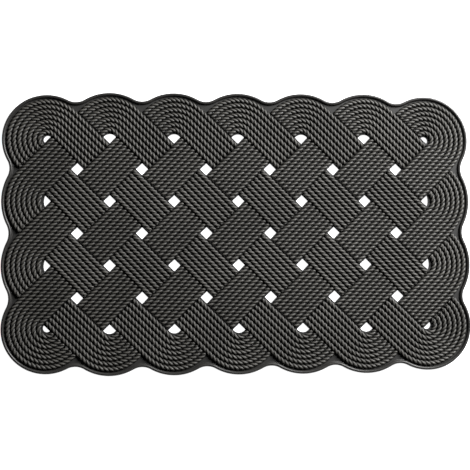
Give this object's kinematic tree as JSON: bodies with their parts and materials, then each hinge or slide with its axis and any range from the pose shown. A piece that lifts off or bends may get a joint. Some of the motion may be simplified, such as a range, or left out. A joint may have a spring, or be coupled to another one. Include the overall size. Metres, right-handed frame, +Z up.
{
  "type": "door mat",
  "caption": "Rectangular moulded rubber door mat with a scalloped outline and a rope-look basket weave pierced by square drain holes.",
  "frame": {"origin": "centre of the footprint, on the floor that the grip studs stand on", "axes": "+X along the length, +Y towards the back long side, +Z up"},
  "size_m": [0.75, 0.45, 0.0095],
  "materials": {
    "rope_rubber": "satin moulded rubber, rope texture",
    "sheet_rubber": "matt moulded rubber",
    "rim_rubber": "satin moulded rubber, smooth",
    "stud_rubber": "matt moulded rubber"
  },
  "bodies": {
    "root": {"base_sheet": "sheet_rubber", "rim_bead": "rim_rubber", "grip_studs": "stud_rubber", "corner_loop_back_left": "rope_rubber", "edge_loop_back_1": "rope_rubber", "edge_loop_back_2": "rope_rubber", "edge_loop_back_3": "rope_rubber", "edge_loop_back_4": "rope_rubber", "edge_loop_back_5": "rope_rubber", "corner_loop_back_right": "rope_rubber", "side_loop_right_1": "rope_rubber", "side_loop_right_2": "rope_rubber", "corner_loop_front_right": "rope_rubber", "edge_loop_front_1": "rope_rubber", "edge_loop_front_2": "rope_rubber", "edge_loop_front_3": "rope_rubber", "edge_loop_front_4": "rope_rubber", "edge_loop_front_5": "rope_rubber", "corner_loop_front_left": "rope_rubber", "side_loop_left_1": "rope_rubber", "side_loop_left_2": "rope_rubber", "pass_row1_col2": "rope_rubber", "pass_row1_col4": "rope_rubber", "pass_row1_col6": "rope_rubber", "pass_row1_col8": "rope_rubber", "pass_row1_col10": "rope_rubber", "pass_row2_col1": "rope_rubber", "pass_row2_col3": "rope_rubber", "pass_row2_col5": "rope_rubber", "pass_row2_col7": "rope_rubber", "pass_row2_col9": "rope_rubber", "pass_row2_col11": "rope_rubber", "pass_row3_col2": "rope_rubber", "pass_row3_col4": "rope_rubber", "pass_row3_col6": "rope_rubber", "pass_row3_col8": "rope_rubber", "pass_row3_col10": "rope_rubber", "pass_row4_col1": "rope_rubber", "pass_row4_col3": "rope_rubber", "pass_row4_col5": "rope_rubber", "pass_row4_col7": "rope_rubber", "pass_row4_col9": "rope_rubber", "pass_row4_col11": "rope_rubber", "pass_row5_col2": "rope_rubber", "pass_row5_col4": "rope_rubber", "pass_row5_col6": "rope_rubber", "pass_row5_col8": "rope_rubber", "pass_row5_col10": "rope_rubber"}
  },
  "joints": []
}
